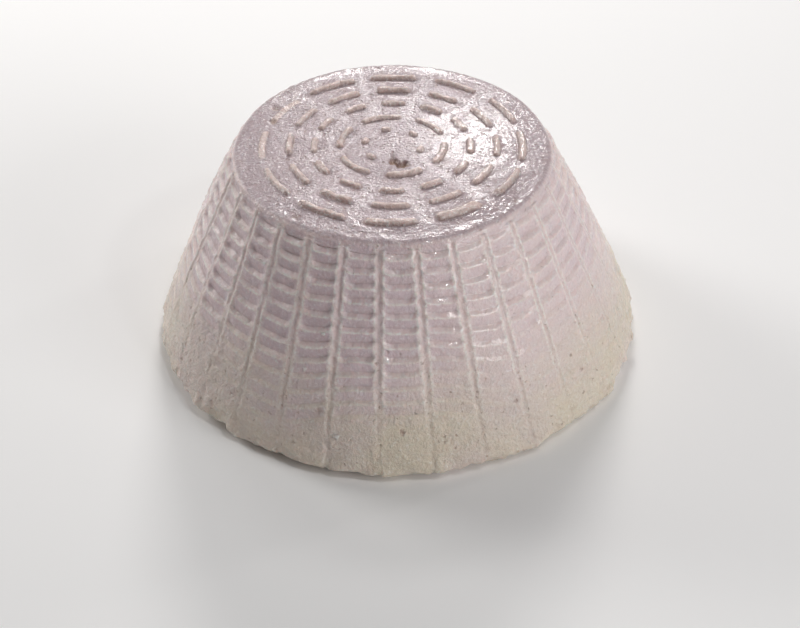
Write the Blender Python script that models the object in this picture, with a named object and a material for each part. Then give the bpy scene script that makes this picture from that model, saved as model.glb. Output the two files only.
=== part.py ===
# Ricotta cheese turned out of its draining basket
# A low cone of pressed curd that stands on its wide end, the small end up.
# Thirty columns of overlapping pads line the wall, with a groove between columns.
# Rings of raised curd bars cover the top, where the curd filled the slots of the mould.
# Lengths are metres, the flat base lies on z = 0 and the front faces -Y.

import math
import random

import bmesh
import bpy
from mathutils import Vector, noise

# Body
HEIGHT = 0.080
TOP_RADIUS = 0.0574
WIDE_RADIUS = 0.0900
WIDE_HEIGHT = 0.0055
BASE_RADIUS = 0.0835
RIM_ROUND = 0.0030
WALL_BULGE = 0.0009
TOP_SHIFT_X = -0.0017
TOP_SHIFT_Y = -0.0018

# Columns of pads and the grooves between them
COLUMNS = 30
CUTS_PER_COLUMN = 3
FIRST_GROOVE = math.radians(-94.6)
GROOVE_WIDTH = 0.0034
GROOVE_DEPTH = 0.0012

# Overlapping pads
FIRST_CREASE = 0.0754
PAD_PITCH = 0.00460
PAD_PITCH_SIDE = 0.00535
PAD_COUNT = 11
PAD_DEPTH = 0.0012
TREAD_SHARE = 0.32
FOOT_SHARE = 0.90
FOOT_OFFSET = -0.22
PAD_FADE_LOW = 0.0290
PAD_FADE_HIGH = 0.0520
PAD_JITTER = 0.0004

# Bars on the top: ring radius, bar length, number of bars, angle of the first bar
# One bar of the smallest ring is torn out, and a hollow is left in its place
BAR_RINGS = (
    (0.0464, 0.0180, 12, math.radians(88.8)),
    (0.0369, 0.0127, 12, math.radians(88.8)),
    (0.0280, 0.0085, 12, math.radians(88.8)),
    (0.0185, 0.0140, 6, math.radians(102.7)),
    (0.0102, 0.0036, 6, math.radians(103.0)),
)
TORN_BAR = 3
BAR_WIDTH = 0.0026
BAR_HEIGHT = 0.0012
BAR_SINK = 0.0012
BAR_SEGMENT = 0.0045
BAR_SIDES = 6

# Small hollows in the top: x, y from the middle of the top, radius and depth
HOLLOWS = (
    (0.0004, -0.0100, 0.0019, 0.0021),
    (0.0035, -0.0120, 0.0021, 0.0024),
    (-0.0427, 0.0258, 0.0016, 0.0015),
    (-0.0433, 0.0166, 0.0014, 0.0013),
)

# Unevenness of the curd
SEED = 41
WAVE_SIZE = 0.034
WAVE_DEPTH = 0.0009
LUMP_SIZE = 0.009
LUMP_DEPTH = 0.0003
BASE_LUMP_DEPTH = 0.0018


def smooth_step(low, high, value):
    share = min(max((value - low) / (high - low), 0.0), 1.0)
    return share * share * (3.0 - 2.0 * share)


def wall_radius(z):
    low = WIDE_HEIGHT
    high = HEIGHT - RIM_ROUND
    if z < low:
        share = (low - z) / low
        return WIDE_RADIUS - (WIDE_RADIUS - BASE_RADIUS) * share ** 2.2
    share = (high - z) / (high - low)
    return TOP_RADIUS + (WIDE_RADIUS - TOP_RADIUS) * share + WALL_BULGE * 4.0 * share * (1.0 - share)


def pad_strength(z):
    return smooth_step(PAD_FADE_LOW, PAD_FADE_HIGH, z)


# Rows of the profile from the middle of the top down to the edge of the base
# Each row holds a radius, a height, a pad level, a pad offset and a share of the groove depth
# The level counts pads down from the first crease, and is None away from the pads
def profile_rows():
    rows = []
    inner = TOP_RADIUS - RIM_ROUND
    for radius in (0.0, 0.022, 0.041, inner):
        rows.append((radius, HEIGHT, None, 0.0, 0.0))
    for degrees in (35.0, 68.0):
        turn = math.radians(degrees)
        radius = inner + RIM_ROUND * math.sin(turn)
        z = HEIGHT - RIM_ROUND + RIM_ROUND * math.cos(turn)
        rows.append((radius, z, None, 0.0, 0.25 if degrees > 50.0 else 0.0))
    levels = [(FOOT_SHARE - 1.0, FOOT_OFFSET)]
    for pad in range(PAD_COUNT):
        for share, offset in ((0.0, -0.5), (TREAD_SHARE, 0.5), (FOOT_SHARE, FOOT_OFFSET)):
            levels.append((pad + share, offset))
    for level, offset in levels:
        z = FIRST_CREASE - PAD_PITCH * level
        rows.append((wall_radius(z), z, level, offset, 1.0))
    for z in (0.0160, 0.0105, 0.0055, 0.0025):
        rows.append((wall_radius(z), z, None, 0.0, 1.0 if z > WIDE_HEIGHT else 0.5))
    rows.append((BASE_RADIUS, 0.0, None, 0.0, 0.0))
    return rows


# The pads are taller at the sides than in the middle of the front and of the back
def pad_height(level, angle):
    side = smooth_step(0.15, 0.55, abs(math.cos(angle)))
    return FIRST_CREASE - level * (PAD_PITCH + (PAD_PITCH_SIDE - PAD_PITCH) * side)


def column_values():
    maker = random.Random(SEED)
    values = []
    for column in range(COLUMNS):
        values.append((maker.uniform(-PAD_JITTER, PAD_JITTER), maker.uniform(0.8, 1.15)))
    return values


# Angle of each cut: the middle of a groove, then the two edges of the pads beside it
def cut_angle(cut, radius):
    column = cut // CUTS_PER_COLUMN
    place = cut % CUTS_PER_COLUMN
    step = 2.0 * math.pi / COLUMNS
    half_groove = 0.5 * GROOVE_WIDTH / max(radius, TOP_RADIUS)
    inside = (0.0, half_groove, step - half_groove)[place]
    return FIRST_GROOVE + column * step + inside


def uneven(point, size, depth):
    return noise.noise(Vector(point) / size + Vector((SEED, 7.3, 2.1))) * depth


def shape_body(bm, row_layer, rows, columns):
    cuts = COLUMNS * CUTS_PER_COLUMN
    for vert in bm.verts:
        row = vert[row_layer]
        radius, z, level, pad_offset, groove_share = rows[row]
        flat = math.hypot(vert.co.x, vert.co.y)
        on_top = row < 4
        if flat > 1e-6:
            cut = round(math.atan2(vert.co.y, vert.co.x) / (2.0 * math.pi / cuts)) % cuts
            column = cut // CUTS_PER_COLUMN
            place = cut % CUTS_PER_COLUMN
            angle = cut_angle(cut, radius)
            drop, depth_share = columns[column]
            if place == 0:
                before = columns[(column - 1) % COLUMNS]
                drop = 0.5 * (drop + before[0])
                depth_share = 0.5 * (depth_share + before[1])
            if level is not None:
                z = pad_height(level, angle)
                strength = pad_strength(z)
                z += drop * strength
                radius = wall_radius(z) + pad_offset * PAD_DEPTH * strength * depth_share
            if place == 0:
                radius -= GROOVE_DEPTH * groove_share
        else:
            angle = 0.0
        spot = (radius * math.cos(angle), radius * math.sin(angle), z)
        if on_top:
            z += uneven(spot, WAVE_SIZE, 0.5 * WAVE_DEPTH) * (1.0 if row < 3 else 0.5)
        elif z > 0.0:
            radius += uneven(spot, WAVE_SIZE, WAVE_DEPTH) + uneven(spot, LUMP_SIZE, LUMP_DEPTH)
            rough = 1.0 - smooth_step(0.0, 0.012, z)
            radius += uneven(spot, LUMP_SIZE, BASE_LUMP_DEPTH) * rough
        else:
            radius += uneven(spot, LUMP_SIZE, BASE_LUMP_DEPTH)
        rise = z / HEIGHT
        vert.co = (
            radius * math.cos(angle) + TOP_SHIFT_X * rise,
            radius * math.sin(angle) + TOP_SHIFT_Y * rise,
            z,
        )


def make_body():
    rows = profile_rows()
    bm = bmesh.new()
    row_layer = bm.verts.layers.int.new("row")
    previous = None
    for index, row in enumerate(rows):
        vert = bm.verts.new((row[0], 0.0, row[1]))
        vert[row_layer] = index
        if previous is not None:
            bm.edges.new((previous, vert))
        previous = vert
    bmesh.ops.spin(
        bm,
        geom=bm.verts[:] + bm.edges[:],
        cent=(0.0, 0.0, 0.0),
        axis=(0.0, 0.0, 1.0),
        angle=2.0 * math.pi,
        steps=COLUMNS * CUTS_PER_COLUMN,
        use_merge=True,
    )
    bmesh.ops.remove_doubles(bm, verts=bm.verts[:], dist=1e-6)
    bmesh.ops.contextual_create(bm, geom=[edge for edge in bm.edges if edge.is_boundary])
    shape_body(bm, row_layer, rows, column_values())
    bmesh.ops.recalc_face_normals(bm, faces=bm.faces[:])
    return bm


def top_height(x, y):
    spot = (x, y, HEIGHT)
    return HEIGHT + uneven(spot, WAVE_SIZE, 0.5 * WAVE_DEPTH)


# One bar is a flattened worm bent along its ring, closed by a point at each end
def make_bar(bm, ring_radius, length, angle, width, height):
    pieces = max(2, round(length / BAR_SEGMENT))
    spread = length / ring_radius
    loops = []
    for station in range(pieces + 1):
        share = station / pieces
        along = angle + spread * (share - 0.5) * (1.0 - width / length * 0.5)
        taper = 0.78 if station in (0, pieces) else 1.0
        loop = []
        for side in range(BAR_SIDES):
            turn = 2.0 * math.pi * (side + 0.5) / BAR_SIDES
            radius = ring_radius + 0.5 * width * taper * math.cos(turn)
            lift = math.sin(turn)
            z = (height if lift > 0.0 else BAR_SINK) * lift * taper
            x = radius * math.cos(along)
            y = radius * math.sin(along)
            loop.append(bm.verts.new((x, y, top_height(x, y) + z)))
        loops.append(loop)
    for first, second in zip(loops[:-1], loops[1:]):
        for side in range(BAR_SIDES):
            after = (side + 1) % BAR_SIDES
            bm.faces.new((first[side], first[after], second[after], second[side]))
    for loop, end in ((loops[0], -0.5), (loops[-1], 0.5)):
        along = angle + spread * end
        x = ring_radius * math.cos(along)
        y = ring_radius * math.sin(along)
        tip = bm.verts.new((x, y, top_height(x, y) + 0.1 * height))
        for side in range(BAR_SIDES):
            bm.faces.new((loop[side], loop[(side + 1) % BAR_SIDES], tip))


def make_bars():
    maker = random.Random(SEED + 1)
    bm = bmesh.new()
    for ring_radius, length, count, first_angle in BAR_RINGS:
        for place in range(count):
            if ring_radius < 0.015 and place == TORN_BAR:
                continue
            angle = first_angle - 2.0 * math.pi * place / count
            angle += maker.uniform(-0.006, 0.006)
            make_bar(
                bm,
                ring_radius + maker.uniform(-0.0003, 0.0003),
                length * maker.uniform(0.92, 1.06),
                angle,
                BAR_WIDTH * maker.uniform(0.88, 1.08),
                BAR_HEIGHT * maker.uniform(0.8, 1.1),
            )
    bmesh.ops.translate(bm, verts=bm.verts[:], vec=(TOP_SHIFT_X, TOP_SHIFT_Y, 0.0))
    bmesh.ops.recalc_face_normals(bm, faces=bm.faces[:])
    return bm


def make_hollow(x, y, radius, depth):
    bm = bmesh.new()
    bmesh.ops.create_icosphere(bm, subdivisions=2, radius=1.0)
    for vert in bm.verts:
        vert.co = (
            TOP_SHIFT_X + x + radius * vert.co.x,
            TOP_SHIFT_Y + y + radius * vert.co.y,
            top_height(x, y) + depth * vert.co.z,
        )
    return bm


def make_object(name, bm, material, collection):
    mesh = bpy.data.meshes.new(name)
    bm.to_mesh(mesh)
    bm.free()
    mesh.materials.append(material)
    thing = bpy.data.objects.new(name, mesh)
    collection.objects.link(thing)
    return thing


def make_material(name, color, roughness):
    material = bpy.data.materials.new(name)
    material.use_nodes = True
    shader = material.node_tree.nodes["Principled BSDF"]
    shader.inputs["Base Color"].default_value = (*color, 1.0)
    shader.inputs["Roughness"].default_value = roughness
    shader.inputs["Metallic"].default_value = 0.0
    return material


def apply_boolean(thing, operation, collection):
    bpy.context.view_layer.objects.active = thing
    step = thing.modifiers.new(operation.lower(), "BOOLEAN")
    step.operation = operation
    step.solver = "EXACT"
    step.operand_type = "COLLECTION"
    step.collection = collection
    bpy.ops.object.modifier_apply(modifier=step.name)
    for other in list(collection.objects):
        bpy.data.objects.remove(other, do_unlink=True)


for old in list(bpy.data.objects):
    bpy.data.objects.remove(old, do_unlink=True)

curd = make_material("ricotta curd", (0.80, 0.73, 0.71), 0.45)
scene_collection = bpy.context.scene.collection

ricotta = make_object("ricotta", make_body(), curd, scene_collection)

bars = bpy.data.collections.new("bars")
scene_collection.children.link(bars)
make_object("bar set", make_bars(), curd, bars)
apply_boolean(ricotta, "UNION", bars)

hollows = bpy.data.collections.new("hollows")
scene_collection.children.link(hollows)
for place, hollow in enumerate(HOLLOWS):
    make_object("hollow " + str(place + 1), make_hollow(*hollow), curd, hollows)
apply_boolean(ricotta, "DIFFERENCE", hollows)

for face in ricotta.data.polygons:
    face.use_smooth = True
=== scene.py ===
import math
import random

import bmesh
import bpy
import numpy as np
from mathutils import Matrix, Vector, noise


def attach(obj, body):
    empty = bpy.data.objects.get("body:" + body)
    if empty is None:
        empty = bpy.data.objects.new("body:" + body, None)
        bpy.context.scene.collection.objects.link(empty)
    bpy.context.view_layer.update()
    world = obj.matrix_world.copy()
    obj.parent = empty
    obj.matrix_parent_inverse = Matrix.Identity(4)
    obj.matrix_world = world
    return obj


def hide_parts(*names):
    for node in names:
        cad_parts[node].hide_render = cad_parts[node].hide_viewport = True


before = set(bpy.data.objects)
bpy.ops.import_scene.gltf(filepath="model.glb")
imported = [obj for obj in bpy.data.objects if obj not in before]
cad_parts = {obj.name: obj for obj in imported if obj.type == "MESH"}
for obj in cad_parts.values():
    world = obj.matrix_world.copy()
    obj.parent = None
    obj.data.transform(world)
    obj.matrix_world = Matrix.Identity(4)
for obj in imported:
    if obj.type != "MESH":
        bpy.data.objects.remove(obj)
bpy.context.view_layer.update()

# The curd body
# A fresh ricotta of about 1.5 kg: whey curd ladled warm into a plastic draining basket,
# left to settle and turned out, so the small basket floor is now the top.
# It is one lump of soft curd, and every mark on it is a print of the basket.
height = 0.080
top_radius = 0.0574
wide_radius = 0.0900
wide_height = 0.0055
base_radius = 0.0835
rim_round = 0.0030
wall_bulge = 0.0009
top_shift = (-0.0017, -0.0018)

columns = 30
first_groove = math.radians(-94.6)
groove_width = 0.0030
groove_depth = 0.00046

first_crease = 0.0754
pad_pitch = 0.00460
pad_pitch_side = 0.00535
pad_count = 12
pad_depth = 0.0014
lip_height = 0.00015

seed = 41
wave_size = 0.034
lump_size = 0.009
grain_size = 0.0042
crumb_size = 0.0019


def smooth_step(low, high, value):
    share = np.clip((value - low) / (high - low), 0.0, 1.0)
    return share * share * (3.0 - 2.0 * share)


def wall_radius(z):
    top = height - rim_round
    share = (top - z) / (top - wide_height)
    above = top_radius + (wide_radius - top_radius) * share
    above = above + wall_bulge * 4.0 * share * (1.0 - share)
    tuck = np.clip((wide_height - z) / wide_height, 0.0, 1.0)
    below = wide_radius - (wide_radius - base_radius) * tuck ** 2.2
    return np.where(z < wide_height, below, above)


def pad_line(level, angle):
    side = smooth_step(0.15, 0.55, np.abs(np.cos(angle)))
    return first_crease - level * (pad_pitch + (pad_pitch_side - pad_pitch) * side)


# Bars on the top: ring radius, bar length, number of bars, turn of the first bar
bar_rings = (
    (0.0464, 0.0180, 12, math.radians(88.8)),
    (0.0369, 0.0127, 12, math.radians(88.8)),
    (0.0280, 0.0085, 12, math.radians(88.8)),
    (0.0185, 0.0140, 6, math.radians(102.7)),
    (0.0102, 0.0036, 6, math.radians(103.0)),
)

# Rows of the turned profile run from the middle of the top to the middle of the base
# They crowd together where a bar or a crease needs them: steps in millimetres from the middle of a ring
bar_steps = (-2.1, -1.55, -1.2, -0.9, -0.5, 0.0, 0.5, 0.9, 1.2, 1.55, 2.1)
gap_steps = (3.3, 4.5, 5.7)
top_rows = [0.0, 0.0025, 0.0050]
for ring, length, count, start in reversed(bar_rings):
    for step in bar_steps + gap_steps:
        top_rows.append(ring + step * 0.001)
top_rows += [0.0531, top_radius - rim_round]
rim_rows = [math.radians(turn) for turn in (14, 28, 42, 56, 68, 79)]

# Shares of a pad's height, and how far the curd stands out there in shares of the pad's depth
pad_shares = [0.0, 0.04, 0.10, 0.16, 0.22, 0.28, 0.34, 0.44, 0.66, 0.90]
pad_outs = [-0.60, -0.48, -0.22, 0.04, 0.26, 0.36, 0.32, 0.17, -0.10, -0.42]
pad_rows = [-0.20, -0.06]
for pad in range(pad_count):
    for share in pad_shares:
        pad_rows.append(pad + share)
low_count = 15
low_rows = [step / low_count for step in range(low_count + 1)]
tuck_rows = [0.0044, 0.0033, 0.0022, 0.0012, 0.0004, 0.0]
base_rows = [0.080, 0.050, 0.020, 0.0]

row_kind = []
row_value = []
for kind, values in enumerate((top_rows, rim_rows, pad_rows, low_rows, tuck_rows, base_rows)):
    for value in values:
        row_kind.append(kind)
        row_value.append(value)
row_kind = np.array(row_kind)
row_value = np.array(row_value)

# Fourteen cuts serve each column, crowded into the groove and wide over the pad
cuts = 14
cut_place = np.array([
    0.0, 0.035, 0.07, 0.11, 0.165, 0.26, 0.38, 0.5, 0.62, 0.74, 0.835, 0.89, 0.93, 0.965,
])

curd = bmesh.new()
row_layer = curd.verts.layers.int.new("row")
previous = None
for row in range(len(row_kind)):
    far = 0.0 if row in (0, len(row_kind) - 1) else 0.05
    vert = curd.verts.new((far, 0.0, -0.001 * row))
    vert[row_layer] = row
    if previous is not None:
        curd.edges.new((previous, vert))
    previous = vert
bmesh.ops.spin(
    curd,
    geom=curd.verts[:] + curd.edges[:],
    cent=(0.0, 0.0, 0.0),
    axis=(0.0, 0.0, 1.0),
    angle=2.0 * math.pi,
    steps=columns * cuts,
    use_merge=True,
)
bmesh.ops.remove_doubles(curd, verts=curd.verts[:], dist=1e-6)

mesh = bpy.data.meshes.new("ricotta_curd")
curd.to_mesh(mesh)
curd.free()

count = len(mesh.vertices)
place = np.empty(count * 3, dtype=np.float64)
mesh.vertices.foreach_get("co", place)
place = place.reshape(-1, 3)
row = np.empty(count, dtype=np.int32)
mesh.attributes["row"].data.foreach_get("value", row)
mesh.attributes.remove(mesh.attributes["row"])

kind = row_kind[row]
value = row_value[row]
cut = np.rint(np.arctan2(place[:, 1], place[:, 0]) / (2.0 * math.pi / (columns * cuts))).astype(int)
cut %= columns * cuts
column = cut // cuts
across = cut_place[cut % cuts]
angle = first_groove + (column + across) * (2.0 * math.pi / columns)

# Each column slipped a little on its own as the basket came off
most_slip = 0.0004
maker = random.Random(seed)
slip = []
press = []
for number in range(columns):
    slip.append(maker.uniform(-most_slip, most_slip))
    press.append(maker.uniform(0.8, 1.15))
slip = np.array(slip)
press = np.array(press)

radius = np.zeros(count)
z = np.zeros(count)
lean = np.zeros(count)
top = kind == 0
rim = kind == 1
pads = kind == 2
low = kind == 3
tuck = kind == 4
base = kind == 5
wall = pads | low | tuck

radius[top] = value[top]
z[top] = height
lean[top] = 1.0
inner = top_radius - rim_round
radius[rim] = inner + rim_round * np.sin(value[rim])
z[rim] = height - rim_round + rim_round * np.cos(value[rim])
lean[rim] = np.cos(value[rim])
z[pads] = pad_line(value[pads], angle[pads])
last = pad_line(float(pad_count), angle)
z[low] = last[low] + (wide_height - last[low]) * value[low]
z[tuck] = value[tuck]
radius[wall] = wall_radius(z[wall])
radius[base] = value[base]


# Value noise read point by point, in lumps of a given size
def lumps(size, shift):
    field = np.empty(count)
    offset = Vector(shift)
    for index in range(count):
        point = Vector((spot[index, 0], spot[index, 1], spot[index, 2])) / size + offset
        field[index] = noise.noise(point)
    return field


spot = np.column_stack([radius * np.cos(angle), radius * np.sin(angle), z])
wave = lumps(wave_size, (seed, 7.3, 2.1))
lump = lumps(lump_size, (seed, 7.3, 2.1))
grain = lumps(grain_size, (3.1, 9.2, 5.5))
crumb = lumps(crumb_size, (8.4, 1.7, 6.2))

# The lower wall pressed on the bottom of the basket's side and is rough, most of all at the left
porous_turn = math.radians(-152.0)
porous_spread = 0.50
around = np.angle(np.exp(1j * (angle - porous_turn)))
porous = np.exp(-(around / porous_spread) ** 2) * smooth_step(0.046, 0.020, z)
rough = np.maximum(0.55 * smooth_step(0.045, 0.012, z), porous) * np.where(wall, 1.0, 0.0)
ragged = smooth_step(0.012, 0.002, z)

# The pads grow faint down the wall, break up on the right and vanish where the curd is rough
right_turn = math.radians(-40.0)
left_turn = math.radians(-150.0)
right_side = smooth_step(0.55, 0.95, np.cos(angle - right_turn))
left_side = smooth_step(0.60, 0.95, np.cos(angle - left_turn))
pad_full = smooth_step(0.028 + 0.006 * right_side, 0.046 + 0.010 * right_side, z)
pad_trace = 0.42 * (1.0 - 0.6 * right_side) * (1.0 - porous) * smooth_step(0.0, 1.5, pad_count - value)
torn = right_side * np.clip(0.40 + 1.5 * lump + 0.9 * grain, 0.0, 1.0)
pad_strength = (pad_full + (1.0 - pad_full) * pad_trace) * (1.0 - 0.15 * right_side - 0.45 * torn)
arc = (across - np.rint(across)) * (2.0 * math.pi / columns) * radius
from_groove = np.abs(arc + 0.00016 * grain + 0.00020 * lump)
turn_up = 0.0008 * (1.0 - smooth_step(0.0014, 0.0034, from_groove))
z[pads] += ((slip[column] + turn_up + 0.00045 * grain + 0.00038 * crumb) * pad_strength)[pads]

# Pads overlap like shingles: a short sloping tread below each crease, then a taller upright riser
share = np.mod(value, 1.0)
pad_shape = np.interp(share, pad_shares + [1.0], pad_outs + pad_outs[:1])
pad_shape[value < 0.0] = -0.22
corner = smooth_step(0.0010, 0.0022 + 0.0012 * left_side, from_groove)
swell = 0.95 + 0.4 * wave + 0.5 * lump + 0.25 * grain
relief = np.zeros(count)
pad_relief = pad_shape * pad_depth * pad_strength * press[column] * swell * corner * (1.0 - 0.15 * left_side)
relief[pads] = pad_relief[pads]

# Grooves run from just under the rim to the ragged edge at the base, each between two raised lips
# They are narrower at the sides, where the basket flexed
lip_place = 0.0015
lip_spread = 0.00045
from_groove = from_groove / (1.0 - 0.4 * smooth_step(0.35, 0.85, np.abs(np.cos(angle))))
groove = 0.5 + 0.5 * np.cos(math.pi * np.clip(from_groove / (0.5 * groove_width), 0.0, 1.0))
groove_fade = smooth_step(height - 0.0010, height - 0.0032, z) * (1.0 - 0.45 * smooth_step(0.045, 0.010, z))
lip = np.exp(-((from_groove - lip_place) / lip_spread) ** 2)
side_wall = pads | low | tuck | rim
dip = -groove_depth * groove * (0.85 + 0.5 * grain) * (1.0 - 0.25 * left_side)
dip = dip + lip_height * lip * (0.8 + 0.8 * grain)
dip = np.where(side_wall, dip * groove_fade, 0.0)

# The skin of the wall is uneven at four sizes, coarser where the curd is rough and at the ragged edge
skin = 0.0009 * wave + 0.0003 * lump
skin = skin + (0.00020 + 0.00024 * rough) * grain + (0.00015 + 0.00032 * rough) * crumb
skin += ragged * (0.0016 * lump + 0.0009 * grain + 0.0005 * crumb)
radius[wall] += (relief + dip + skin)[wall]

# Bars of curd that filled the slots of the basket floor stand proud of the top
# One small one is missing, four at the left are worn, keyed by ring and bar, and one swelled wide
bar_width = 0.0024
bar_height = 0.0014
missing_bar = (4, 3)
wide_bar = (0, 5)
worn = {(0, 9): 0.55, (0, 10): 0.18, (1, 10): 0.75, (2, 10): 0.7}
flat_top = top | rim
lift = np.zeros(count)
bar_mark = np.zeros(count)
foot_mark = np.zeros(count)
maker = random.Random(seed + 1)
for ring_number, (ring, length, number, start) in enumerate(bar_rings):
    for bar in range(number):
        if (ring_number, bar) == missing_bar:
            continue
        turn = start - 2.0 * math.pi * bar / number + maker.uniform(-0.006, 0.006)
        reach = ring + maker.uniform(-0.0003, 0.0003)
        long = length * maker.uniform(0.92, 1.06)
        wide = bar_width * maker.uniform(0.88, 1.08)
        tall = bar_height * maker.uniform(0.85, 1.1) * worn.get((ring_number, bar), 1.0)
        tall *= min(1.0, 0.62 + ring / 0.1)
        if (ring_number, bar) == wide_bar:
            wide *= 1.35
        away = np.angle(np.exp(1j * (angle - turn)))
        past = np.maximum(np.abs(away) * reach - 0.5 * (long - wide), 0.0)
        off = np.hypot(radius - reach + 0.0002 * lump, past) / (0.5 * wide)
        off *= 1.0 + 0.12 * crumb + 0.10 * grain
        body = np.sqrt(np.clip(1.0 - off ** 4, 0.0, 1.0))
        bar_lift = tall * body * (1.0 + 0.20 * grain + 0.22 * crumb)
        lift = np.maximum(lift, np.where(top, bar_lift, 0.0))
        bar_mark = np.maximum(bar_mark, np.where(top, smooth_step(0.0, 0.5, body), 0.0))
        # The foot of each bar is marked both for a slight moat and for painted shade
        foot = np.exp(-((off - 1.10) / 0.15) ** 2) * min(1.0, tall / bar_height)
        foot_mark = np.maximum(foot_mark, np.where(top, foot, 0.0))
lift -= 0.00018 * foot_mark * (1.0 - bar_mark)

# Shallow wet furrows part the twelve sectors of bars
furrow_start = math.radians(88.8 + 15.0)
furrow_width = 0.0022
furrow_depth = 0.00022
sector = np.angle(np.exp(12j * (angle - furrow_start))) / 12.0
rib = np.exp(-((sector * np.maximum(radius, 0.004) + 0.0008 * lump) / furrow_width) ** 2)
rib *= smooth_step(0.014, 0.024, radius) * smooth_step(0.052, 0.046, radius)
rib *= np.clip(0.7 + 1.2 * lump + grain, 0.0, 1.0)
lift -= np.where(top, furrow_depth * rib * (1.0 - bar_mark), 0.0)

# Gas or whey left a few hollows: x and y from the middle of the top, radius and depth
hollow = np.zeros(count)
for x, y, wide, deep in (
    (0.0004, -0.0100, 0.0022, 0.0014),
    (0.0035, -0.0120, 0.0024, 0.0016),
    (-0.0427, 0.0258, 0.0020, 0.0008),
    (-0.0433, 0.0166, 0.0017, 0.0008),
    (-0.0398, 0.0225, 0.0010, 0.0005),
    (0.0420, -0.0330, 0.0013, 0.0006),
    (-0.0330, -0.0420, 0.0014, 0.0007),
):
    off = np.hypot(radius * np.cos(angle) - x, radius * np.sin(angle) - y) / wide
    off *= 1.0 + 0.35 * crumb + 0.25 * grain
    bowl = np.sqrt(np.clip(1.0 - off ** 2, 0.0, 1.0))
    lift = np.where(flat_top, lift - deep * bowl, lift)
    hollow = np.where(flat_top, np.maximum(hollow, bowl * min(1.0, deep / 0.0015)), hollow)

# The border of the top dips at the front and the sides, and rises a little at the back
border_dip = 0.0007
border_rise = 0.0002
face = 0.00045 * wave + 0.00016 * grain + 0.00009 * crumb
behind = smooth_step(0.1, 0.7, np.sin(angle))
face -= (border_dip - (border_dip + border_rise) * behind) * smooth_step(0.0470, 0.0544, radius)
z[top] += (face + lift)[top]
z[rim] += (face + 0.00018 * crumb * lean)[rim]
radius[rim] += ((skin + dip) * (1.0 - lean))[rim]
z[base] = 0.0

rise = z / height
place[:, 0] = radius * np.cos(angle) + top_shift[0] * rise
place[:, 1] = radius * np.sin(angle) + top_shift[1] * rise
place[:, 2] = np.maximum(z, 0.0)
mesh.vertices.foreach_set("co", place.ravel())

# Marks for the material, kept on the mesh so that they follow its relief
# They say where the curd is creased, rough, low, wet or calm enough to glare, and where shade and highlight
# are painted: shade on risers, rim and top, highlight on tread edges and groove lips
on_pads = np.where(pads & (value >= 0.0), 1.0, 0.0)
# Painted shade: the creases between pads and the grooves are marked to be coloured rosy brown
crease = np.interp(share, [0.0, 0.04, 0.10, 0.86, 0.95, 1.0], [1.0, 0.4, 0.0, 0.0, 0.7, 1.0])
crease = crease * corner * pad_strength * on_pads
crease = np.maximum(crease, np.where(side_wall, 0.5 * groove * groove_fade, 0.0))
# Painted shade: risers, the outer face of the rim and the top are marked to be coloured a darker mauve
riser = np.interp(share, [0.0, 0.04, 0.28, 0.34, 0.46, 1.0], [0.8, 0.1, 0.0, 0.6, 1.0, 1.0]) * on_pads
riser = np.where(pads & (value < 0.0), 0.9, riser)
riser = np.where(rim, 0.9 * smooth_step(0.80, 1.15, value), riser)
riser = riser * corner * pad_strength * (1.0 - 0.4 * right_side)
face_up = np.where(flat_top, smooth_step(0.65, 1.0, lean), 0.0)
riser = np.maximum(riser, 0.5 * face_up * (1.0 - 0.6 * bar_mark))
# Painted highlight: a pale line along the edge of each tread and along the groove lips
edge = np.exp(-((share - 0.27) / 0.06) ** 2) * corner * pad_strength
edge = edge * on_pads * (1.0 - 0.4 * right_side)
edge = np.maximum(edge, np.where(side_wall, 0.9 * lip * groove_fade * smooth_step(0.010, 0.035, z), 0.0))
in_groove = np.where(side_wall, groove * smooth_step(0.052, 0.038, z), 0.55 * face_up * (1.0 - bar_mark))
rough = np.maximum(rough, np.where(flat_top, 0.35, 0.0))
wet_turn = math.radians(-68.0)
wet_side = smooth_step(0.72, 0.96, np.cos(angle - wet_turn)) * smooth_step(0.024, 0.040, z)
glare = np.exp(-((place[:, 0] - 0.027) / 0.020) ** 2 - ((place[:, 1] - 0.004) / 0.021) ** 2)
rim_front = smooth_step(0.045, 0.052, radius) * smooth_step(0.2, 0.9, np.cos(angle - math.radians(-84.0)))
rim_back = smooth_step(0.048, 0.053, radius) * (
    np.exp(-(np.angle(np.exp(1j * (angle - math.radians(113.0)))) / 0.30) ** 2)
    + np.exp(-(np.angle(np.exp(1j * (angle - math.radians(72.0)))) / 0.22) ** 2)
)
wet_face = 0.68 + 0.40 * glare + 0.35 * rib + 0.3 * rim_front + 0.4 * rim_back
wet = np.where(flat_top, wet_face, 0.42 + 0.58 * wet_side)
calm_face = np.clip(glare + 0.8 * rim_front + rim_back + 0.5 * rib, 0.0, 1.0)
marks = {
    "hollow": hollow,
    "crease": crease,
    "riser": riser,
    "rough": rough,
    "groove": in_groove,
    "bar": bar_mark,
    "foot": foot_mark,
    "edge": edge,
    "top": face_up,
    "low": np.where(wall, smooth_step(0.052, 0.015, z), 0.0),
    "glare": np.where(flat_top, calm_face, 1.4 * wet_side),
    "wet": np.clip(wet, 0.0, 1.0),
}
for name, field in marks.items():
    layer = mesh.attributes.new(name, "FLOAT", "POINT")
    layer.data.foreach_set("value", field.astype(np.float32))

check = bmesh.new()
check.from_mesh(mesh)
bmesh.ops.recalc_face_normals(check, faces=check.faces[:])
check.to_mesh(mesh)
check.free()
mesh.shade_smooth()
ricotta = bpy.data.objects.new("ricotta_curd", mesh)
bpy.context.scene.collection.objects.link(ricotta)


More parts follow.
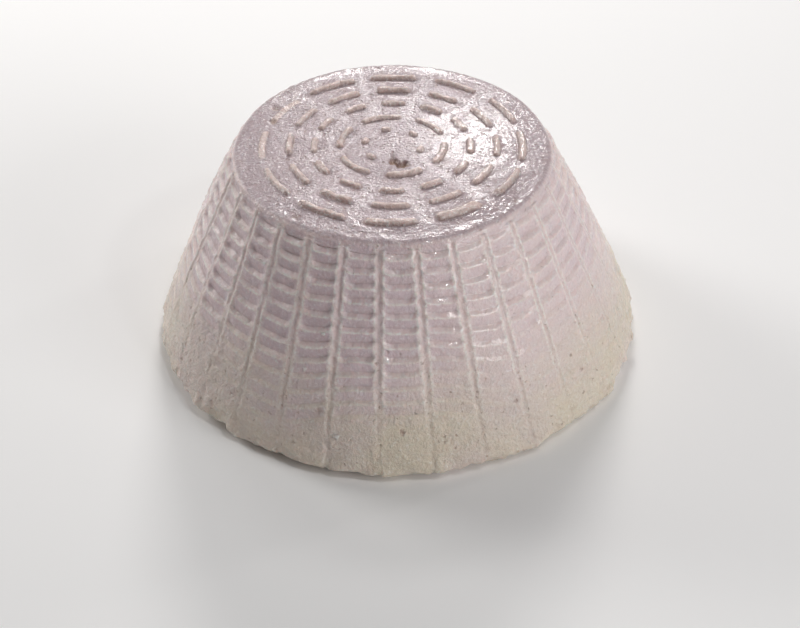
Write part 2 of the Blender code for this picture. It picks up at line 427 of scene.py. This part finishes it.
# Curd: whey protein set into a soft, dense, white mass
# Light goes a millimetre or two into it, so shadows stay soft and turn rosy in the creases, where a rosy brown
# shade is also painted.
# A film of whey lies on it in patches and gives small sharp glints.
def colour(hex_code):
    parts = [int(hex_code[start:start + 2], 16) / 255.0 for start in (1, 3, 5)]
    return [p / 12.92 if p <= 0.04045 else ((p + 0.055) / 1.055) ** 2.4 for p in parts] + [1.0]


def add_node(tree, kind, settings=None, inputs=None):
    made = tree.nodes.new(kind)
    for name, setting in (settings or {}).items():
        setattr(made, name, setting)
    for name, source in (inputs or {}).items():
        if isinstance(source, bpy.types.NodeSocket):
            tree.links.new(source, made.inputs[name])
        else:
            made.inputs[name].default_value = source
    return made


wet_curd = bpy.data.materials.new("fresh_whey_curd")
wet_curd.use_nodes = True
tree = wet_curd.node_tree
tree.nodes.clear()
spot_on = add_node(tree, "ShaderNodeTexCoord").outputs["Object"]
mark = {}
for name in marks:
    mark[name] = add_node(tree, "ShaderNodeAttribute", {"attribute_name": name}).outputs["Fac"]

# Soft blotches 26 mm across, clumps of 3 mm, curd grains of 1.0 mm, and the 1.6 mm ripple of the film
blotch = add_node(tree, "ShaderNodeTexNoise", {}, {
    "Vector": spot_on, "Scale": 38.0, "Detail": 3.0,
}).outputs["Fac"]
clump = add_node(tree, "ShaderNodeTexNoise", {}, {
    "Vector": spot_on, "Scale": 330.0, "Detail": 3.0, "Roughness": 0.6, "Distortion": 0.6,
}).outputs["Fac"]
grains = add_node(tree, "ShaderNodeTexNoise", {}, {
    "Vector": spot_on, "Scale": 1000.0, "Detail": 4.0, "Roughness": 0.62,
}).outputs["Fac"]
ripple = add_node(tree, "ShaderNodeTexNoise", {}, {
    "Vector": spot_on, "Scale": 620.0, "Detail": 1.0,
}).outputs["Fac"]

# Pores: one in three cells of 2 mm holds a pinhole, and the rough curd has wider ones
# A shift of about half a millimetre keeps them from being round
stir = add_node(tree, "ShaderNodeTexNoise", {}, {"Vector": spot_on, "Scale": 900.0, "Detail": 1.0})
shifted = add_node(tree, "ShaderNodeVectorMath", {"operation": "MULTIPLY_ADD"}, {
    0: stir.outputs["Color"], 1: (0.0016, 0.0016, 0.0016), 2: spot_on,
}).outputs[0]
pores = add_node(tree, "ShaderNodeTexVoronoi", {"feature": "F1"}, {"Vector": shifted, "Scale": 500.0})
pore_pick = add_node(tree, "ShaderNodeSeparateColor", {}, {"Color": pores.outputs["Color"]})
pore_size = add_node(tree, "ShaderNodeMapRange", {}, {
    "Value": pore_pick.outputs["Red"], "From Min": 0.70, "From Max": 1.0, "To Min": 0.0, "To Max": 0.25,
})
rough_grow = add_node(tree, "ShaderNodeMath", {"operation": "MULTIPLY_ADD"}, {
    0: mark["rough"], 1: 1.1, 2: 0.8,
})
pore_wide = add_node(tree, "ShaderNodeMath", {"operation": "MULTIPLY"}, {
    0: pore_size.outputs[0], 1: rough_grow.outputs[0],
})
pore_deep = add_node(tree, "ShaderNodeMath", {"operation": "SUBTRACT"}, {
    0: pore_wide.outputs[0], 1: pores.outputs["Distance"],
})
pore_hole = add_node(tree, "ShaderNodeMapRange", {"interpolation_type": "SMOOTHSTEP"}, {
    "Value": pore_deep.outputs[0], "From Min": 0.0, "From Max": 0.12, "To Min": 0.0, "To Max": 1.0,
}).outputs[0]

# Pits strung along the lower grooves and strewn over the top; their brown is painted shade
string = add_node(tree, "ShaderNodeTexVoronoi", {"feature": "F1"}, {"Vector": shifted, "Scale": 560.0})
string_pick = add_node(tree, "ShaderNodeSeparateColor", {}, {"Color": string.outputs["Color"]})
string_size = add_node(tree, "ShaderNodeMapRange", {}, {
    "Value": string_pick.outputs["Green"], "From Min": 0.45, "From Max": 1.0, "To Min": 0.0, "To Max": 0.42,
})
string_deep = add_node(tree, "ShaderNodeMath", {"operation": "SUBTRACT"}, {
    0: string_size.outputs[0], 1: string.outputs["Distance"],
})
string_hole = add_node(tree, "ShaderNodeMapRange", {"interpolation_type": "SMOOTHSTEP"}, {
    "Value": string_deep.outputs[0], "From Min": 0.0, "From Max": 0.14, "To Min": 0.0, "To Max": 1.0,
})
groove_hole = add_node(tree, "ShaderNodeMath", {"operation": "MULTIPLY"}, {
    0: string_hole.outputs[0], 1: mark["groove"],
}).outputs[0]

# The tones are laid over one another: cream treads and bars (the bars partly painted light), mauve as painted
# shade on risers, rim and top, straw low on the wall, painted highlight on tread edges and groove lips, grey
# mauve as painted shade over the top, brown as painted shade in creases and at bar feet, and last holes and
# grain dips in painted shade, painted highlights on grain tops, and crumbs
mauve = colour("#EAD6DA")
cream = colour("#F3DFDB")
straw = colour("#E6DBC3")
cream_share = add_node(tree, "ShaderNodeMapRange", {}, {
    "Value": blotch, "From Min": 0.35, "From Max": 0.65, "To Min": 0.55, "To Max": 1.0,
})
# Painted shade: risers, rim and top are taken off the cream tone towards mauve
not_riser = add_node(tree, "ShaderNodeMath", {"operation": "MULTIPLY_ADD", "use_clamp": True}, {
    0: mark["riser"], 1: -0.85, 2: cream_share.outputs[0],
})
# Bars keep the cream tone, out of the painted shade on the top
with_bar = add_node(tree, "ShaderNodeMath", {"operation": "MULTIPLY_ADD", "use_clamp": True}, {
    0: mark["bar"], 1: 0.8, 2: not_riser.outputs[0],
})
low_share = add_node(tree, "ShaderNodeMath", {"operation": "MULTIPLY"}, {0: mark["low"], 1: 0.8})
pale_tone = add_node(tree, "ShaderNodeMix", {"data_type": "RGBA"}, {
    "Factor": low_share.outputs[0], "A": cream, "B": straw,
})
mixed_tone = add_node(tree, "ShaderNodeMix", {"data_type": "RGBA"}, {
    "Factor": with_bar.outputs[0], "A": mauve, "B": pale_tone.outputs["Result"],
})
# Painted shade: risers, rim and top are darkened further
riser_shade_share = add_node(tree, "ShaderNodeMath", {"operation": "MULTIPLY"}, {0: mark["riser"], 1: 0.55})
riser_shade_tone = add_node(tree, "ShaderNodeMix", {"data_type": "RGBA"}, {
    "Factor": riser_shade_share.outputs[0], "A": mixed_tone.outputs["Result"], "B": colour("#D8C1C5"),
})
# Painted highlight: tread edges and groove lips are lightened, broken up by the grain
highlight_break = add_node(tree, "ShaderNodeMapRange", {}, {
    "Value": grains, "From Min": 0.38, "From Max": 0.58, "To Min": 0.25, "To Max": 0.95,
})
highlight_share = add_node(tree, "ShaderNodeMath", {"operation": "MULTIPLY"}, {
    0: mark["edge"], 1: highlight_break.outputs[0],
})
highlight_tone = add_node(tree, "ShaderNodeMix", {"data_type": "RGBA"}, {
    "Factor": highlight_share.outputs[0], "A": riser_shade_tone.outputs["Result"], "B": colour("#FFFAF2"),
})
# Painted shade: the top is darkened towards grey mauve, less on the bars
top_shade_amount = add_node(tree, "ShaderNodeMath", {"operation": "MULTIPLY_ADD"}, {
    0: mark["bar"], 1: -0.65, 2: 0.85,
})
painted_top_shade = add_node(tree, "ShaderNodeMath", {"operation": "MULTIPLY"}, {0: mark["top"], 1: top_shade_amount.outputs[0]})
body_tone = add_node(tree, "ShaderNodeMix", {"data_type": "RGBA"}, {
    "Factor": painted_top_shade.outputs[0], "A": highlight_tone.outputs["Result"], "B": colour("#B7A3A8"),
})
# Painted shade in the creases and grooves
shade_share = add_node(tree, "ShaderNodeMath", {"operation": "MULTIPLY"}, {0: mark["crease"], 1: 0.28})
crease_shade_tone = add_node(tree, "ShaderNodeMix", {"data_type": "RGBA"}, {
    "Factor": shade_share.outputs[0], "A": body_tone.outputs["Result"], "B": colour("#C4A39B"),
})
# Bars are lightened: partly their own warmer tone, partly painted light on their shaded faces toward the front
bar_share = add_node(tree, "ShaderNodeMath", {"operation": "MULTIPLY"}, {0: mark["bar"], 1: 0.60})
bar_tone = add_node(tree, "ShaderNodeMix", {"data_type": "RGBA"}, {
    "Factor": bar_share.outputs[0], "A": crease_shade_tone.outputs["Result"], "B": colour("#EFD9CF"),
})
# Painted shade: a brown line at the foot of each bar
foot_shade_share = add_node(tree, "ShaderNodeMath", {"operation": "MULTIPLY"}, {0: mark["foot"], 1: 0.62})
foot_shade_tone = add_node(tree, "ShaderNodeMix", {"data_type": "RGBA"}, {
    "Factor": foot_shade_share.outputs[0], "A": bar_tone.outputs["Result"], "B": colour("#A98470"),
})
# Painted shade: pores, pits and hollows are coloured brown
pore_share = add_node(tree, "ShaderNodeMath", {"operation": "MULTIPLY"}, {0: pore_hole, 1: 0.40})
groove_share = add_node(tree, "ShaderNodeMath", {"operation": "MULTIPLY"}, {0: groove_hole, 1: 0.55})
small_share = add_node(tree, "ShaderNodeMath", {"operation": "MAXIMUM"}, {
    0: pore_share.outputs[0], 1: groove_share.outputs[0],
})
hole_share = add_node(tree, "ShaderNodeMath", {"operation": "MAXIMUM"}, {
    0: small_share.outputs[0], 1: mark["hollow"],
})
tone = add_node(tree, "ShaderNodeMix", {"data_type": "RGBA"}, {
    "Factor": hole_share.outputs[0], "A": foot_shade_tone.outputs["Result"], "B": colour("#B08D77"),
})


# Larger pits left by gas, and white crumbs stuck to the wall
# Each is given by its turn in degrees and its height and radius in millimetres
def on_wall(turn, level):
    reach = float(wall_radius(level))
    rise = level / height
    return (reach * math.cos(turn) + top_shift[0] * rise, reach * math.sin(turn) + top_shift[1] * rise, level)


def gather(places, edge):
    found = None
    for turn, level, reach in places:
        centre = on_wall(math.radians(turn), 0.001 * level)
        away = add_node(tree, "ShaderNodeVectorMath", {"operation": "DISTANCE"}, {0: shifted, 1: centre})
        near = add_node(tree, "ShaderNodeMapRange", {"interpolation_type": "SMOOTHSTEP"}, {
            "Value": away.outputs["Value"], "From Min": 0.001 * reach, "From Max": 0.001 * reach * edge,
        })
        if found is None:
            found = near.outputs[0]
        else:
            found = add_node(tree, "ShaderNodeMath", {"operation": "MAXIMUM"}, {
                0: found, 1: near.outputs[0],
            }).outputs[0]
    return found


pits = gather((
    (-108.8, 24.6, 2.0), (-88.7, 19.9, 1.7), (-132.4, 19.2, 1.8), (-60.2, 22.9, 1.2), (-126.0, 27.2, 1.5),
    (-124.9, 21.4, 1.2), (-147.2, 31.4, 1.5), (-158.1, 31.6, 1.3), (-149.9, 20.3, 1.5), (-40.6, 27.1, 1.2),
    (-38.7, 20.2, 1.4), (-35.2, 35.3, 0.9), (-138.8, 10.5, 2.2), (-91.8, 46.2, 1.1), (-90.2, 44.3, 1.1),
    (-88.6, 45.5, 1.0), (-106.1, 66.1, 0.9), (-118.4, 59.0, 1.1), (-94.7, 42.6, 1.0), (-82.8, 42.2, 1.0),
), 0.1)
crumbs = gather((
    (-121.9, 36.3, 1.0), (-113.8, 36.9, 1.3), (-109.7, 49.6, 1.1), (-128.5, 22.0, 1.0), (-104.0, 17.0, 1.4),
), 0.4)
# Painted shade: the larger pits are coloured brown
pit_share = add_node(tree, "ShaderNodeMath", {"operation": "MULTIPLY"}, {0: pits, 1: 0.6})
# Painted shade: the dips of the grain are coloured darker, most on the top
dip_shade_share = add_node(tree, "ShaderNodeMapRange", {}, {
    "Value": grains, "From Min": 0.46, "From Max": 0.34, "To Min": 0.0, "To Max": 0.50,
})
dip_shade_side = add_node(tree, "ShaderNodeMath", {"operation": "MULTIPLY_ADD"}, {
    0: mark["top"], 1: 0.7, 2: 0.3,
})
dip_shade_part = add_node(tree, "ShaderNodeMath", {"operation": "MULTIPLY"}, {
    0: dip_shade_share.outputs[0], 1: dip_shade_side.outputs[0],
})
dip_shade_tone = add_node(tree, "ShaderNodeMix", {"data_type": "RGBA"}, {
    "Factor": dip_shade_part.outputs[0], "A": tone.outputs["Result"], "B": colour("#B89C96"),
})
# Painted highlight: the tops of the grain are lightened to near white, most on the top
painted_glint_share = add_node(tree, "ShaderNodeMapRange", {}, {
    "Value": grains, "From Min": 0.54, "From Max": 0.66, "To Min": 0.0, "To Max": 0.60,
})
painted_glint_side = add_node(tree, "ShaderNodeMath", {"operation": "MULTIPLY_ADD"}, {
    0: mark["top"], 1: 0.40, 2: 0.50,
})
painted_glint_part = add_node(tree, "ShaderNodeMath", {"operation": "MULTIPLY"}, {
    0: painted_glint_share.outputs[0], 1: painted_glint_side.outputs[0],
})
painted_glint_tone = add_node(tree, "ShaderNodeMix", {"data_type": "RGBA"}, {
    "Factor": painted_glint_part.outputs[0], "A": dip_shade_tone.outputs["Result"], "B": colour("#FFFCFA"),
})
pit_tone = add_node(tree, "ShaderNodeMix", {"data_type": "RGBA"}, {
    "Factor": pit_share.outputs[0], "A": painted_glint_tone.outputs["Result"], "B": colour("#B9968A"),
})
full_tone = add_node(tree, "ShaderNodeMix", {"data_type": "RGBA"}, {
    "Factor": crumbs, "A": pit_tone.outputs["Result"], "B": colour("#FBF7F2"),
})

# The grain stands up more where the curd is rough, by parts of half a millimetre
grain_depth = 0.00060
clump_rise = add_node(tree, "ShaderNodeMath", {"operation": "MULTIPLY_ADD"}, {
    0: mark["rough"], 1: 1.4, 2: 0.6,
})
clump_high = add_node(tree, "ShaderNodeMath", {"operation": "MULTIPLY"}, {0: clump, 1: clump_rise.outputs[0]})
grain_rise = add_node(tree, "ShaderNodeMath", {"operation": "MULTIPLY_ADD"}, {
    0: mark["rough"], 1: 0.5, 2: 0.9,
})
grain_part = add_node(tree, "ShaderNodeMath", {"operation": "MULTIPLY"}, {0: grains, 1: grain_rise.outputs[0]})
grain_high = add_node(tree, "ShaderNodeMath", {"operation": "ADD"}, {
    0: grain_part.outputs[0], 1: clump_high.outputs[0],
})
small_high = add_node(tree, "ShaderNodeMath", {"operation": "MAXIMUM"}, {0: pore_hole, 1: groove_hole})
hole_high = add_node(tree, "ShaderNodeMath", {"operation": "MULTIPLY_ADD"}, {
    0: pits, 1: 0.9, 2: small_high.outputs[0],
})
crumb_high = add_node(tree, "ShaderNodeMath", {"operation": "MULTIPLY_ADD"}, {
    0: crumbs, 1: 1.2, 2: grain_high.outputs[0],
})
height_all = add_node(tree, "ShaderNodeMath", {"operation": "SUBTRACT"}, {
    0: crumb_high.outputs[0], 1: hole_high.outputs[0],
})
relief_share = add_node(tree, "ShaderNodeMath", {"operation": "MULTIPLY_ADD"}, {
    0: mark["top"], 1: 0.15, 2: 0.85,
})
bump = add_node(tree, "ShaderNodeBump", {}, {
    "Height": height_all.outputs[0], "Strength": relief_share.outputs[0], "Distance": grain_depth,
})

# The film of whey ripples on its own over the grain, and lies calm where it glares
film_part = add_node(tree, "ShaderNodeMath", {"operation": "MULTIPLY_ADD"}, {
    0: height_all.outputs[0], 1: 0.30, 2: ripple,
})
film_calm = add_node(tree, "ShaderNodeMath", {"operation": "MULTIPLY_ADD"}, {
    0: mark["glare"], 1: -0.56, 2: 1.0,
})
film_bump = add_node(tree, "ShaderNodeBump", {}, {
    "Height": film_part.outputs[0], "Strength": film_calm.outputs[0], "Distance": grain_depth,
})

wet_patch = add_node(tree, "ShaderNodeMapRange", {}, {
    "Value": clump, "From Min": 0.35, "From Max": 0.65, "To Min": 0.55, "To Max": 1.35,
})
wet_share = add_node(tree, "ShaderNodeMath", {"operation": "MULTIPLY", "use_clamp": True}, {
    0: wet_patch.outputs[0], 1: mark["wet"],
})
skin_rough = add_node(tree, "ShaderNodeMapRange", {}, {
    "Value": mark["wet"], "From Min": 0.1, "From Max": 0.9, "To Min": 0.55, "To Max": 0.34,
})
shader = add_node(tree, "ShaderNodeBsdfPrincipled", {"subsurface_method": "RANDOM_WALK"}, {
    "Base Color": full_tone.outputs["Result"],
    "Roughness": skin_rough.outputs[0],
    "IOR": 1.40,
    "Subsurface Weight": 0.40,
    "Subsurface Radius": (1.0, 0.62, 0.50),
    "Subsurface Scale": 0.0010,
    "Coat Weight": wet_share.outputs[0],
    "Coat Roughness": 0.07,
    "Coat IOR": 1.50,
    "Normal": bump.outputs["Normal"],
    "Coat Normal": film_bump.outputs["Normal"],
})
add_node(tree, "ShaderNodeOutputMaterial", {}, {"Surface": shader.outputs["BSDF"]})
mesh.materials.append(wet_curd)

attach(ricotta, "root")
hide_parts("ricotta")

# The table and the light
# A plain pale table top, matt laminate.
# Boxes behind the cheese glare on its wet top, wide boxes to the left and the right light the wall.
# Two small ones high in front put glints on the wet treads.
floor_mesh = bpy.data.meshes.new("table_top")
table = bmesh.new()
bmesh.ops.create_grid(table, x_segments=1, y_segments=1, size=4.0)
table.to_mesh(floor_mesh)
table.free()
floor = bpy.data.objects.new("table_top", floor_mesh)
bpy.context.scene.collection.objects.link(floor)
laminate = bpy.data.materials.new("pale_matt_laminate")
laminate.use_nodes = True
top_coat = laminate.node_tree.nodes["Principled BSDF"]
top_coat.inputs["Base Color"].default_value = colour("#FCFBFA")
top_coat.inputs["Roughness"].default_value = 0.7
floor_mesh.materials.append(laminate)


def soft_box(name, spot, aim, size, power, tint):
    light = bpy.data.lights.new(name, "AREA")
    light.shape = "RECTANGLE"
    light.size = size[0]
    light.size_y = size[1]
    light.energy = power
    light.color = colour(tint)[:3]
    lamp = bpy.data.objects.new(name, light)
    way = Vector(aim) - Vector(spot)
    lamp.location = spot
    lamp.rotation_euler = way.to_track_quat("-Z", "Y").to_euler()
    bpy.context.scene.collection.objects.link(lamp)


soft_box("back_box", (0.09, 0.93, 0.69), (0.0, 0.0, 0.08), (0.28, 0.17), 4.1, "#FFFDFC")
soft_box("low_box", (0.01, 0.94, 0.60), (0.0, 0.05, 0.08), (0.22, 0.06), 1.0, "#FFFDFC")
soft_box("high_box", (-0.05, 0.70, 0.90), (0.0, 0.0, 0.08), (0.34, 0.10), 1.2, "#FFFDFC")
soft_box("side_box", (0.90, 0.55, 0.52), (0.0, 0.0, 0.05), (0.06, 0.22), 0.8, "#FFFDFC")
soft_box("left_box", (-0.87, 0.54, 0.47), (0.0, 0.0, 0.05), (0.40, 0.40), 5.3, "#FFFEFC")
soft_box("right_box", (0.84, -0.57, 0.44), (0.0, 0.0, 0.05), (0.50, 0.50), 3.9, "#FFFFFF")
soft_box("front_box", (0.27, -0.36, 0.99), (0.0, 0.0, 0.05), (0.08, 0.08), 1.1, "#FFFFFF")
soft_box("glint_box", (0.56, -0.44, 0.89), (0.0, 0.0, 0.05), (0.07, 0.07), 0.8, "#FFFFFF")
world = bpy.data.worlds.new("studio")
world.use_nodes = True
world.node_tree.nodes["Background"].inputs["Color"].default_value = colour("#F2F4FA")
world.node_tree.nodes["Background"].inputs["Strength"].default_value = 0.08
bpy.context.scene.world = world

# The camera
# It stands in front and looks down at about forty degrees, as in the photograph.
camera_data = bpy.data.cameras.new("camera")
camera_data.sensor_fit = "HORIZONTAL"
camera_data.sensor_width = 36.0
camera_data.lens = 1615.0 * 36.0 / 800.0
camera_data.clip_start = 0.01
camera = bpy.data.objects.new("camera", camera_data)
turn_to = Matrix.Rotation(math.radians(-0.28), 4, "Z")
tip = Matrix.Rotation(math.radians(90.0 - 39.43), 4, "X")
roll = Matrix.Rotation(math.radians(-0.34), 4, "Z")
stand = Matrix.Translation((top_shift[0], top_shift[1] - 0.4804, height + 0.3177))
camera.matrix_world = stand @ turn_to @ tip @ roll
bpy.context.scene.collection.objects.link(camera)
bpy.context.scene.camera = camera
bpy.context.scene.view_settings.view_transform = "Standard"
